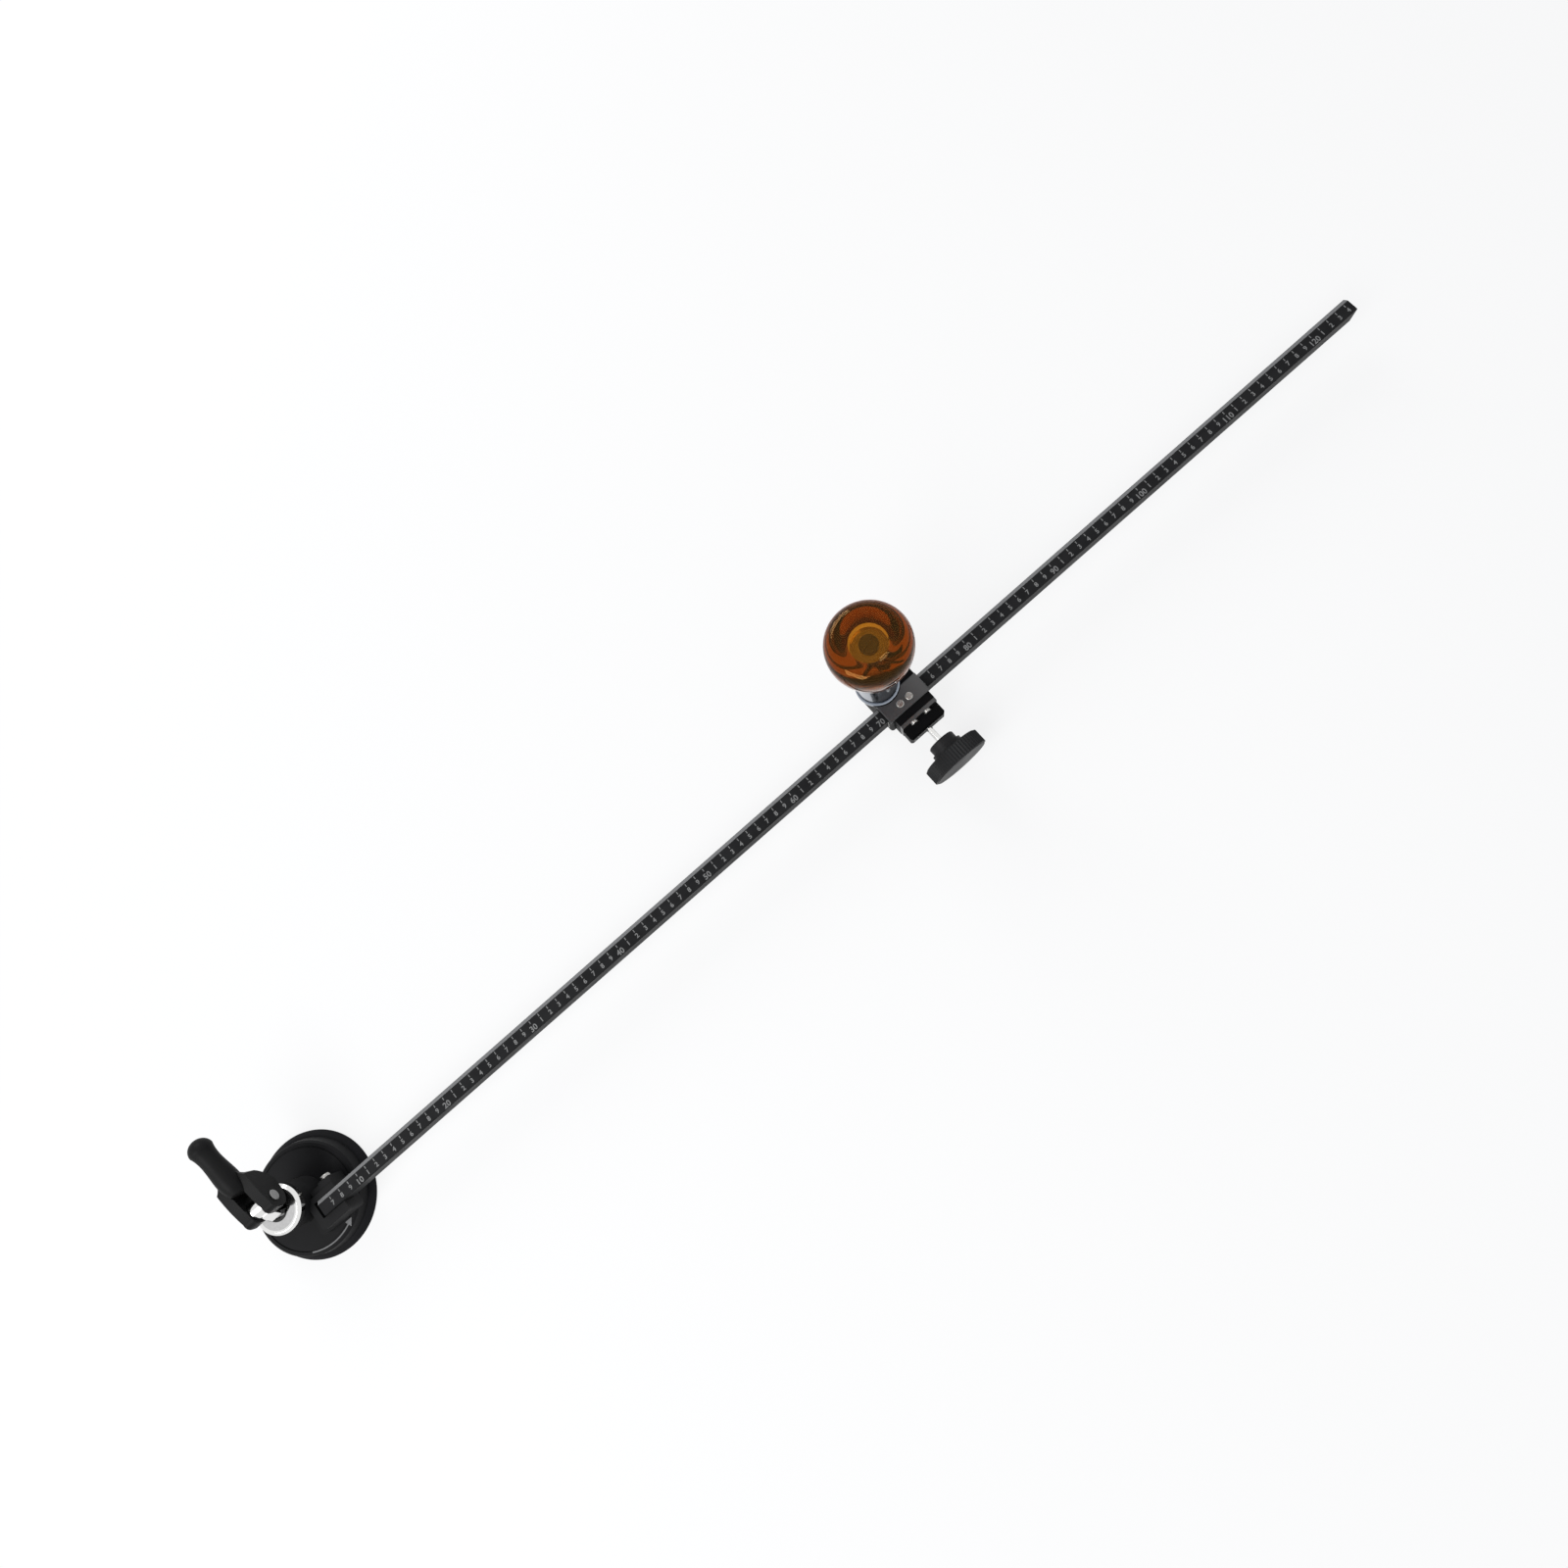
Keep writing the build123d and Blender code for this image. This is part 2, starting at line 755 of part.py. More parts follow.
def plate_screw_xs():
    """Places along the bar of the clamp plate's screws."""
    return (clamp_axis_x - plate_screw_span / 2, clamp_axis_x + plate_screw_span / 2)


def nut_screw_xs():
    """Places along the bar of the nut block's screws."""
    return (clamp_axis_x - nut_screw_span / 2, clamp_axis_x + nut_screw_span / 2)


def holder_screw_ys():
    """Places across the bar of the turret holder's screws."""
    return (stem_y - holder_screw_span / 2, stem_y + holder_screw_span / 2)


def clamp_bores(body):
    """Bores that the clamp screw and the nut block's screws pass through."""
    body = body - rod(clamp_radius + running, (clamp_axis_x, nut_outer - overrun, clamp_axis_z),
                      (clamp_axis_x, overrun, clamp_axis_z))
    for x in nut_screw_xs():
        body = body - rod(nut_screw_radius, (x, nut_outer - overrun, nut_screw_height),
                          (x, overrun, nut_screw_height))
    return body


def clamp_plate():
    """Bright plate between the block and the nut block."""
    plate = block((clamp_axis_x - clamp_half, clamp_plate_outer, clamp_plate_low),
                  (clamp_axis_x + clamp_half, block_outer, clamp_plate_top))
    plate = clamp_bores(plate)
    for x in plate_screw_xs():
        plate = plate - rod(plate_screw_radius, (x, -overrun, plate_screw_height),
                            (x, overrun, plate_screw_height))
    return plate


def plate_screws():
    """Two small screws that hold the clamp plate to the block."""
    screw = slotted_screw(plate_screw_head_radius, plate_screw_head, plate_screw_radius,
                          plate_screw_length, slot_width, slot_depth)
    screws = []
    for x in plate_screw_xs():
        screws.append(Pos(x, clamp_plate_outer, plate_screw_height) * Rot(90, 0, 0) * screw)
    return group(screws)


def nut_block():
    """Block whose thread carries the clamp screw."""
    body = block((clamp_axis_x - clamp_half, nut_outer, nut_block_low),
                 (clamp_axis_x + clamp_half, clamp_plate_outer, nut_block_top))
    body = chamfer(body.faces().sort_by(Axis.Y)[0].edges(), nut_block_edge)
    body = clamp_bores(body)
    for x in nut_screw_xs():
        body = body - rod(nut_screw_head_radius, (x, nut_outer, nut_screw_height),
                          (x, nut_outer + nut_screw_head, nut_screw_height))
    return body


def nut_screws():
    """Two cap screws through the nut block into the head block."""
    screw = socket_screw(nut_screw_head_radius, nut_screw_head, nut_screw_radius, nut_screw_length)
    return group([Pos(x, nut_outer, nut_screw_height) * Rot(90, 0, 0) * screw for x in nut_screw_xs()])


def pressure_pad():
    """Small button that the clamp screw drives against the bar's liner."""
    start = (clamp_axis_x, window_near - presser_length, clamp_axis_z)
    button = rod(presser_radius, start, (clamp_axis_x, window_near, clamp_axis_z))
    socket_end = (clamp_axis_x, start[1] + presser_socket_depth, clamp_axis_z)
    return button - rod(clamp_tip_radius + running, start, socket_end)


def clamp_screw():
    """Threaded shank of the clamp, with a reduced tip in the presser's socket."""
    step = window_near - presser_length - running
    tip = step + presser_socket_depth
    shank = rod(clamp_radius, (clamp_axis_x, clamp_start - clamp_screw_sink, clamp_axis_z),
                (clamp_axis_x, step, clamp_axis_z))
    return shank + rod(clamp_tip_radius, (clamp_axis_x, step, clamp_axis_z),
                       (clamp_axis_x, tip, clamp_axis_z))


def knurled_prism(low, high):
    """A prism with straight knurls, drawn as a star outline."""
    points = []
    for step in range(knurl_count):
        for part, reach in ((0, clamp_disc_radius), (1, clamp_disc_radius - knurl_depth)):
            turn = math.pi * (2 * step + part) / knurl_count
            points.append((reach * math.cos(turn), reach * math.sin(turn)))
    return slab_outline(points, low, high)


def clamp_knob():
    """Knurled clamp knob with a stepped hub and a slightly domed face."""
    disc_low = clamp_hub_start - clamp_disc_start
    disc_high = disc_low + clamp_disc_thickness
    flange_low = clamp_hub_start - clamp_flange_start
    rim = clamp_disc_radius - knurl_depth - running
    inner = clamp_disc_radius - clamp_disc_chamfer - knurl_depth
    disc = turned([
        (0, 0),
        (clamp_hub_radius - clamp_hub_ease, 0),
        (clamp_hub_radius, clamp_hub_ease),
        (clamp_hub_radius, flange_low),
        (clamp_flange_radius, flange_low),
        (clamp_flange_radius, disc_low),
        (inner, disc_low),
        (rim, disc_low + clamp_disc_chamfer),
        (rim, disc_high - clamp_disc_chamfer),
        (inner, disc_high),
        (inner * dome_edge_share, disc_high + clamp_dome * dome_mid_share),
        (inner * dome_inner_share, disc_high + clamp_dome),
        (0, disc_high + clamp_dome),
    ])
    disc = disc + knurled_prism(disc_low + clamp_disc_chamfer, disc_high - clamp_disc_chamfer)
    body = Plane(origin=(clamp_axis_x, clamp_hub_start, clamp_axis_z), z_dir=(0, -1, 0)) * disc
    return body - rod(clamp_radius, (clamp_axis_x, overrun, clamp_axis_z),
                      (clamp_axis_x, clamp_start - clamp_screw_sink, clamp_axis_z))


def wheel_centres():
    """Places of the wheels around the turret, in Y and Z."""
    places = []
    for step in range(wheel_count):
        turn = 2 * math.pi * step / wheel_count
        across = wheel_pitch_radius * math.sin(turn)
        up = turret_height - wheel_pitch_radius * math.cos(turn)
        places.append((across, up))
    return places


def turret_disc():
    """Round turret with a pocket and a cross hole for each wheel."""
    body = rod(turret_radius, (turret_near, stem_y, turret_height), (turret_far, stem_y, turret_height))
    body = chamfer(body.edges().filter_by(GeomType.CIRCLE), wheel_gap + wheel_gap)
    half = wheel_half + wheel_gap
    for y, z in wheel_centres():
        body = body - rod(wheel_pocket_radius, (turret_middle - half, y, z), (turret_middle + half, y, z))
        body = body - rod(axle_radius, (turret_near - overrun, y, z), (turret_far + overrun, y, z))
    bore = turret_screw_radius + running
    return body - rod(bore, (turret_near - overrun, stem_y, turret_height),
                      (turret_far + overrun, stem_y, turret_height))


def wheel_axles():
    """Six short axles pressed across the turret."""
    return group([rod(axle_radius, (turret_near, y, z), (turret_far, y, z)) for y, z in wheel_centres()])


def cutting_wheel(y, z):
    """Small steel wheel with a sharp edge."""
    bore = axle_radius + running
    points = [(bore, -wheel_half), (wheel_land_radius, -wheel_half), (wheel_radius, 0),
              (wheel_land_radius, wheel_half), (bore, wheel_half)]
    return Pos(turret_middle, y, z) * Rot(0, 90, 0) * turned(points)


def turret_holder():
    """Holder under the block that carries the turret's screw."""
    body = block((holder_start, -holder_half, holder_low), (holder_end, holder_half, block_low))
    lower = body.edges().filter_by(Axis.X).group_by(Axis.Z)[0]
    body = fillet(lower, holder_corner)
    body = body - upright(stem_radius, stem_low, overrun, stem_place)
    body = body - rod(turret_screw_radius, (turret_screw_start, stem_y, turret_height),
                      (overrun + holder_end, stem_y, turret_height))
    for y in holder_screw_ys():
        seat = Pos(holder_screw_x, y, holder_low) * Rot(180, 0, 0)
        length = block_low - holder_low + holder_screw_reach
        body = body - seat * sunk_screw_space(holder_screw_head_radius, holder_screw_sink,
                                              holder_screw_radius, length)
    return body


def holder_screws():
    """Two flush screws that hold the turret's holder under the block."""
    length = block_low - holder_low + holder_screw_reach
    screw = sunk_screw(holder_screw_head_radius, holder_screw_sink, holder_screw_radius, length)
    seats = [Pos(holder_screw_x, y, holder_low) * Rot(180, 0, 0) for y in holder_screw_ys()]
    return group([seat * screw for seat in seats])


def turret_washer():
    """Spring washer between the holder and the turret."""
    tube = rod(turret_screw_head_radius, (holder_end, stem_y, turret_height),
               (turret_near, stem_y, turret_height))
    return tube - rod(turret_screw_radius, (holder_end - overrun, stem_y, turret_height),
                      (turret_near + overrun, stem_y, turret_height))


def turret_screw():
    """Screw that the turret is turned on and locked by."""
    length = turret_far - turret_screw_start
    screw = slotted_screw(turret_screw_head_radius, turret_screw_head, turret_screw_radius, length,
                          turret_slot_width, turret_slot_depth)
    return Pos(turret_far, stem_y, turret_height) * Rot(0, 90, 0) * screw


def knob_stem():
    """Stem from the turret's holder up through the block and the neck to the hand knob."""
    body = upright(stem_radius, stem_low, stem_top, stem_place)
    bore_low = knob_screw_head_low - knob_screw_length
    return body - upright(knob_screw_radius, bore_low, stem_top + overrun, stem_place)


def neck_sleeve():
    """Bright neck under the hand knob, with a foot flange, a groove and a spigot."""
    flange_top = block_top + neck_flange_height
    points = [
        (stem_radius, block_top),
        (neck_flange_radius, block_top),
        (neck_flange_radius, flange_top - neck_ease),
        (neck_flange_radius - neck_ease, flange_top),
        (neck_radius, flange_top),
        (neck_radius, block_top + neck_groove_start),
        (neck_groove_radius, block_top + neck_groove_start),
        (neck_groove_radius, block_top + neck_groove_end),
        (neck_radius, block_top + neck_groove_end),
        (neck_radius, neck_shoulder - neck_ease),
        (neck_radius - neck_ease, neck_shoulder),
        (neck_spigot_radius, neck_shoulder),
        (neck_spigot_radius, neck_top),
        (stem_radius, neck_top),
    ]
    return turned(points, stem_place)


def amber_knob():
    """Clear hand knob: flared side, full round crown, a shallow dished top and a blind bore."""
    bore = neck_spigot_radius + free_gap
    side = [(radius, 0, knob_low + rise) for radius, rise in knob_side + knob_crown + knob_dish]
    floor = (0, 0, knob_low + knob_dish_floor)
    foot = Polyline(
        (0, 0, knob_bore_top),
        (bore, 0, knob_bore_top),
        (bore, 0, knob_low),
        (knob_foot_radius, 0, knob_low),
        side[0],
    )
    top = Polyline(floor, (0, 0, knob_bore_top))
    lean = Vector(knob_side[1][0] - knob_side[0][0], 0, knob_side[1][1] - knob_side[0][1])
    outline = Spline(*side, floor, tangents=[lean, (-1, 0, 0)])
    return Pos(stem_x, stem_y, 0) * revolve(make_face([foot, outline, top]), Axis.Z)


def knob_screw():
    """Screw in the stem's top that keeps the hand knob on."""
    screw = slotted_screw(knob_screw_head_radius, knob_screw_head, knob_screw_radius, knob_screw_length,
                          knob_slot_width, knob_slot_depth)
    return Pos(stem_x, stem_y, knob_screw_head_low) * Rot(0, 0, knob_screw_turn) * screw


def all_parts():
    """Every sub-part under its node name."""
    parts = {
        "suction_pad": suction_pad(),
        "pad_housing": pad_housing(),
        "pivot_post": pivot_post(),
        "lower_washer": ring(washer_radius, post_radius, cap_top, lower_washer_top),
        "upper_washer": ring(upper_washer_radius, post_radius, hub_ring_top, collar_low),
        "chrome_collar": chrome_collar(),
        "pull_stud": pull_stud(),
        "cam_lever": cam_lever(),
        "lever_pin": lever_pin(),
        "swivel_hub": swivel_hub(),
        "hub_bush": ring(bush_radius, post_radius + running, lower_washer_top, hub_ring_top),
        "scale_bar": scale_bar(),
        "bar_screws": bar_screws(),
        "lug_screw": lug_screw(),
        "head_block": head_block(),
        "index_plate": index_plate(),
        "index_screws": index_screws(),
        "bar_liner": bar_liner(),
        "clamp_plate": clamp_plate(),
        "plate_screws": plate_screws(),
        "nut_block": nut_block(),
        "nut_screws": nut_screws(),
        "pressure_pad": pressure_pad(),
        "clamp_screw": clamp_screw(),
        "clamp_knob": clamp_knob(),
        "turret_holder": turret_holder(),
        "holder_screws": holder_screws(),
        "turret_washer": turret_washer(),
        "turret_screw": turret_screw(),
        "turret_disc": turret_disc(),
        "wheel_axles": wheel_axles(),
        "knob_stem": knob_stem(),
        "neck_sleeve": neck_sleeve(),
        "knob_washer": ring(knob_washer_radius, stem_radius, neck_top, knob_washer_top, stem_place),
        "knob_insert": ring(neck_spigot_radius + free_gap, stem_radius + running, insert_low, insert_top,
                            stem_place),
        "amber_knob": amber_knob(),
        "knob_screw": knob_screw(),
    }
    for number, (y, z) in enumerate(wheel_centres(), start=1):
        parts[f"wheel_{number}"] = cutting_wheel(y, z)
    return parts


os.makedirs("parts", exist_ok=True)
for node, shape in all_parts().items():
    export_step(shape, f"parts/{node}.step")
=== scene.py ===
"""Looks of the glass circle cutter. Metres, in the part's own frame."""
import json
import math

import bpy
from mathutils import Matrix, Vector

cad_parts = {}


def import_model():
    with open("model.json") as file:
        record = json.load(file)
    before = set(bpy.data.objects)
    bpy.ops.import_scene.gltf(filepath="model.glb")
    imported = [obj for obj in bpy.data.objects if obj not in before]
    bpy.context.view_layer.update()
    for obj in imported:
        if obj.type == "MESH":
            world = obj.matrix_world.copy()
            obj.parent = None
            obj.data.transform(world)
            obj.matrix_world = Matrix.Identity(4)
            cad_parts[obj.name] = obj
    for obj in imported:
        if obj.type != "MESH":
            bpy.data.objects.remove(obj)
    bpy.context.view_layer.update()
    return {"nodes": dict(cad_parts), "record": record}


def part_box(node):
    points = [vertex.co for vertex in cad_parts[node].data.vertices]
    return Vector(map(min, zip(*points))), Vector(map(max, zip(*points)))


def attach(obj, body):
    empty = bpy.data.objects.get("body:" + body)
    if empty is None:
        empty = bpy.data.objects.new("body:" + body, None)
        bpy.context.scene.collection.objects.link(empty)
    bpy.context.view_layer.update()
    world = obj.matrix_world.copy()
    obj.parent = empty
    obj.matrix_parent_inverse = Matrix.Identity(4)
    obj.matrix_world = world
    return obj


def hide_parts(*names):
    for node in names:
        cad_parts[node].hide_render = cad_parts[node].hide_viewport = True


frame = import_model()
nodes = frame["nodes"]

MM = 0.001

# Camera, fitted to the disc's outline and to the lean of the upright parts. Its focal length and
# the drop that gives its tilt are in points of a picture that is 1600 points wide.
CAMERA_PLACE = (0.2838, -0.1007, 0.4831)
PICTURE_POINTS = 1600
FOCAL_POINTS = 1100
TILT_POINTS = 230
CAMERA_TILT = math.atan(TILT_POINTS / FOCAL_POINTS)
SENSOR = 36.0
LENS = SENSOR * FOCAL_POINTS / PICTURE_POINTS
CLIP_START = 0.01

# The bar's direction in the picture, to the right and up
BAR_RIGHT = 0.75114
BAR_UP = 0.66014

# Scale on the bar, in millimetres: 5 mm of bar to a centimetre of circle
SCALE_FIRST_LABEL = 10
SCALE_FIRST_X = 32.8
SCALE_STEP = 5.0
SCALE_LOW = 7
SCALE_HIGH = 124
SCALE_LABEL_EVERY = 10
TICK_START_Y = -9.3
TICK_END_Y = -10.6
TICK_WIDTH = 0.4
DIGIT_Y = -12.3
DIGIT_HEIGHT = 2.1
DIGIT_BOLD = 0.07
DIGIT_CURVE_STEPS = 3
LABEL_Y = -12.8
LABEL_HEIGHT = 2.6
FONT_CAP_SHARE = 0.72

# How far printed marks reach below and above their surface, in millimetres
MARK_SINK = 0.02
MARK_PROUD = 0.03

# Arrow on the cap, in millimetres and degrees
ARROW_RADIUS = 23.2
ARROW_WIDTH = 0.6
ARROW_START = -119.0
ARROW_END = -67.0
ARROW_TIP = -59.0
ARROW_TIP_SHARE = 0.25
ARROW_HEAD_HALF = 1.7
ARROW_STEPS = 30

# Rubber pad: the radius and height of each corner, in millimetres
PAD_PROFILE = (
    (9.0, 0.9), (14.0, 1.7), (22.5, 0.15), (23.2, 0.0), (28.2, 0.0), (28.5, 0.25),
    (28.5, 0.75), (28.25, 1.1), (27.6, 2.0), (26.9, 2.55), (26.1, 3.15), (9.0, 3.15),
)
BOSS_PROFILE = (
    (0.05, 2.5), (5.5, 2.5), (8.9, 2.1), (8.9, 3.15), (7.6, 3.25), (7.6, 6.5),
    (3.1, 6.5), (3.1, 5.7), (6.0, 5.7), (6.0, 3.9), (0.05, 3.9),
)
PAD_TURNS = 128
PAD_EDGE_ANGLE = 40

# Shares of a noise between which a colour or a roughness goes from its low to its high value
COLOUR_NOISE = (0.35, 0.65)
ROUGH_NOISE = (0.3, 0.7)

# Paint. Grains are in waves per metre, and reliefs in metres.
PAINT_SPECULAR = 0.3
PAINT_GRAIN = 2200
PAINT_BROAD_SHARE = 25
PAINT_RELIEF = 0.00002
PAINT_RELIEF_STRENGTH = 0.5
PAINT_SPREAD = 0.15
PAINT_ROUGH_SPREAD = 0.06

# Metal
METAL_GRAIN = 900
METAL_BROAD_GRAIN = 60
METAL_DETAIL = 4.0
METAL_RELIEF = 0.000004
METAL_RELIEF_STRENGTH = 0.4
METAL_SPREAD = 0.05

# Clear amber plastic, with its absorption per metre
AMBER_COLOUR = (0.98, 0.9, 0.72)
AMBER_SPREAD = 0.02
AMBER_GRAIN = 45
AMBER_ROUGH = (0.02, 0.06)
AMBER_ROUGH_GRAIN = 500
AMBER_BENDING = 1.49
AMBER_GLOSS_TINT = (0.9, 0.5, 0.15, 1)
AMBER_DEPTH_COLOUR = (0.82, 0.61, 0.05, 1)
AMBER_DENSITY = 290.0

# Printed marks
PRINT_SPREAD = 0.18
PRINT_GRAIN = 1500
PRINT_ROUGH = (0.5, 0.65)
PRINT_ROUGH_GRAIN = 800
PRINT_SPECULAR = 0.2

# Zones of painted light, in millimetres: a painted highlight on the bar's bevel, painted shade on
# the collar's face, and darker painted shade at the edge of the collar's hole
BEVEL_HIGHLIGHT_ZONE = (("Y", -8.85, -7.2), ("Z", 23.3, 25.2))
COLLAR_FACE_SHADE_ZONE = (("R", 0, 8.4), ("Z", 31.0, 32.6))
COLLAR_HOLE_SHADE_ZONE = (("R", 0, 4.9), ("Z", 31.0, 32.6))
ZONE_GRAIN = 900
ZONE_SPREAD = 0.15

# Slot, colour, roughness, specular level, grain, relief
PAINTS = (
    ("black_rubber", (0.012, 0.012, 0.013), 0.6, 0.05, 1500, 0.00003),
    ("cap_black", (0.011, 0.011, 0.0115), 0.45, 0.06),
    ("casting_black", (0.016, 0.016, 0.0163), 0.5, 0.05, 1600, 0.00004),
    ("lever_black", (0.012, 0.012, 0.012), 0.45, 0.06, 1400, 0.00003),
    ("bar_black", (0.016, 0.016, 0.0166), 0.45, 0.04, 3000, 0.00001),
    ("block_black", (0.005, 0.005, 0.0053), 0.42, 0.03),
    ("knurl_black", (0.022, 0.022, 0.0226), 0.45, 0.1),
    ("screw_black", (0.02, 0.02, 0.02), 0.4),
    ("white_nylon", (0.6, 0.59, 0.55), 0.45, 0.4),
)

# Slot, colour, lowest and highest roughness, grain, stretch of the grain along the axes
METALS = (
    ("plate_steel", (0.085, 0.085, 0.087), 0.3, 0.42, 700, (1, 12, 12)),
    ("plain_steel", (0.22, 0.22, 0.22), 0.22, 0.34),
    ("neck_steel", (0.28, 0.31, 0.36), 0.1, 0.2, 700, (1, 1, 30)),
    ("bright_chrome", (0.78, 0.78, 0.77), 0.05, 0.1, 400),
    ("screw_steel", (0.4, 0.395, 0.38), 0.2, 0.32),
    ("tool_steel", (0.4, 0.4, 0.42), 0.18, 0.3, 1200),
    ("bearing_brass", (0.22, 0.15, 0.045), 0.1, 0.16, 300),
)

# Painted light and shade: slot, zone, colour within the zone
PAINTED_LIGHT_ZONES = (
    # Painted highlight: the bar's bevel drawn lighter than the rest of the bar
    ("bar_black", BEVEL_HIGHLIGHT_ZONE, (0.2, 0.2, 0.2)),
    # Painted shade: the collar's face drawn darker than the rest of the chrome, as under the
    # lever
    ("bright_chrome", COLLAR_FACE_SHADE_ZONE, (0.55, 0.55, 0.55)),
    # Painted shade: near black round the collar's hole, standing in for the fork's shadow on the
    # chrome
    ("bright_chrome", COLLAR_HOLE_SHADE_ZONE, (0.05, 0.05, 0.05)),
)
MARK_COLOUR = (0.2, 0.2, 0.196)
ARROW_COLOUR = (0.2, 0.2, 0.2)

# Floor, in metres
FLOOR_HALF = 4.0
FLOOR_DROP = 0.0002
FLOOR_COLOUR = (0.9, 0.9, 0.9)
FLOOR_SPREAD = 0.01
FLOOR_GRAIN = 3
FLOOR_ROUGH = 0.9
FLOOR_GLOW_SHARE = 0.8

# Surrounding light
SOFT_COLOUR = (0.9, 0.93, 1.0, 1)
SOFT_STRENGTH = 0.45

# Lamp, place, width in metres, power in watts
LAMP_TARGET = (0.25, 0, 0.03)
LAMPS = (
    ("key", (-0.45, -0.25, 1.0), 0.7, 9),
    ("fill", (0.3, 0.9, 0.6), 0.6, 4),
)


def new_material(name):
    """A material with its nodes, its Principled shader and object coordinates."""
    material = bpy.data.materials.new(name)
    material.use_nodes = True
    tree = material.node_tree
    shader = tree.nodes["Principled BSDF"]
    coords = tree.nodes.new("ShaderNodeTexCoord")
    return material, tree, shader, coords.outputs["Object"]


def noise(tree, vector, scale, detail=3.0, stretch=(1, 1, 1)):
    """Noise at a scale per metre, stretched along the axes."""
    mapping = tree.nodes.new("ShaderNodeMapping")
    mapping.inputs["Scale"].default_value = stretch
    tree.links.new(vector, mapping.inputs["Vector"])
    texture = tree.nodes.new("ShaderNodeTexNoise")
    texture.inputs["Scale"].default_value = scale
    texture.inputs["Detail"].default_value = detail
    tree.links.new(mapping.outputs["Vector"], texture.inputs["Vector"])
    return texture.outputs["Fac"]


def math_node(tree, operation, first, second):
    """The result of a math node. The first input is a socket, the second a socket or a number."""
    node = tree.nodes.new("ShaderNodeMath")
    node.operation = operation
    tree.links.new(first, node.inputs[0])
    if isinstance(second, (int, float)):
        node.inputs[1].default_value = second
    else:
        tree.links.new(second, node.inputs[1])
    return node.outputs["Value"]


def spread_colour(tree, shader, fac, colour, spread):
    """Base colour that varies about a middle value."""
    ramp = tree.nodes.new("ShaderNodeValToRGB")
    low, high = ramp.color_ramp.elements
    low.position, high.position = COLOUR_NOISE
    low.color = [c * (1 - spread) for c in colour] + [1]
    high.color = [min(1, c * (1 + spread)) for c in colour] + [1]
    tree.links.new(fac, ramp.inputs["Fac"])
    tree.links.new(ramp.outputs["Color"], shader.inputs["Base Color"])


def spread_roughness(tree, shader, fac, low, high):
    """Roughness that varies between two values."""
    ranged = tree.nodes.new("ShaderNodeMapRange")
    ranged.inputs["From Min"].default_value = ROUGH_NOISE[0]
    ranged.inputs["From Max"].default_value = ROUGH_NOISE[1]
    ranged.inputs["To Min"].default_value = low
    ranged.inputs["To Max"].default_value = high
    tree.links.new(fac, ranged.inputs["Value"])
    tree.links.new(ranged.outputs["Result"], shader.inputs["Roughness"])


def bumped(tree, shader, fac, distance, strength):
    """Surface relief from a texture."""
    bump = tree.nodes.new("ShaderNodeBump")
    bump.inputs["Distance"].default_value = distance
    bump.inputs["Strength"].default_value = strength
    tree.links.new(fac, bump.inputs["Height"])
    tree.links.new(bump.outputs["Normal"], shader.inputs["Normal"])


def painted(name, colour, rough, specular=PAINT_SPECULAR, grain=PAINT_GRAIN, relief=PAINT_RELIEF):
    """Satin enamel, black oxide, rubber or nylon with a fine grain."""
    material, tree, shader, vector = new_material(name)
    fine = noise(tree, vector, grain)
    broad = noise(tree, vector, grain / PAINT_BROAD_SHARE)
    spread_colour(tree, shader, broad, colour, PAINT_SPREAD)
    spread_roughness(tree, shader, broad, rough - PAINT_ROUGH_SPREAD, rough + PAINT_ROUGH_SPREAD)
    bumped(tree, shader, fine, relief, PAINT_RELIEF_STRENGTH)
    shader.inputs["Specular IOR Level"].default_value = specular
    return material


def metal(name, colour, low, high, grain=METAL_GRAIN, stretch=(1, 1, 1)):
    """Plated, turned or brushed metal."""
    material, tree, shader, vector = new_material(name)
    shader.inputs["Metallic"].default_value = 1.0
    brushed = noise(tree, vector, grain, METAL_DETAIL, stretch)
    broad = noise(tree, vector, METAL_BROAD_GRAIN)
    spread_colour(tree, shader, broad, colour, METAL_SPREAD)
    spread_roughness(tree, shader, brushed, low, high)
    bumped(tree, shader, brushed, METAL_RELIEF, METAL_RELIEF_STRENGTH)
    return material


def amber(name):
    """Clear amber plastic that darkens with its depth."""
    material, tree, shader, vector = new_material(name)
    spread_colour(tree, shader, noise(tree, vector, AMBER_GRAIN), AMBER_COLOUR, AMBER_SPREAD)
    spread_roughness(tree, shader, noise(tree, vector, AMBER_ROUGH_GRAIN), *AMBER_ROUGH)
    shader.inputs["Transmission Weight"].default_value = 1.0
    shader.inputs["IOR"].default_value = AMBER_BENDING
    shader.inputs["Specular Tint"].default_value = AMBER_GLOSS_TINT
    depth = tree.nodes.new("ShaderNodeVolumeAbsorption")
    depth.inputs["Color"].default_value = AMBER_DEPTH_COLOUR
    depth.inputs["Density"].default_value = AMBER_DENSITY
    tree.links.new(depth.outputs["Volume"], tree.nodes["Material Output"].inputs["Volume"])
    return material


def printed(name, colour):
    """Printed marks, slightly uneven."""
    material, tree, shader, vector = new_material(name)
    spread_colour(tree, shader, noise(tree, vector, PRINT_GRAIN), colour, PRINT_SPREAD)
    spread_roughness(tree, shader, noise(tree, vector, PRINT_ROUGH_GRAIN), *PRINT_ROUGH)
    shader.inputs["Specular IOR Level"].default_value = PRINT_SPECULAR
    return material


def radius_from_axis(tree, vector):
    """Distance from the pivot's axis."""
    flat = tree.nodes.new("ShaderNodeVectorMath")
    flat.operation = "MULTIPLY"
    flat.inputs[1].default_value = (1, 1, 0)
    tree.links.new(vector, flat.inputs[0])
    size = tree.nodes.new("ShaderNodeVectorMath")
    size.operation = "LENGTH"
    tree.links.new(flat.outputs["Vector"], size.inputs[0])
    return size.outputs["Value"]


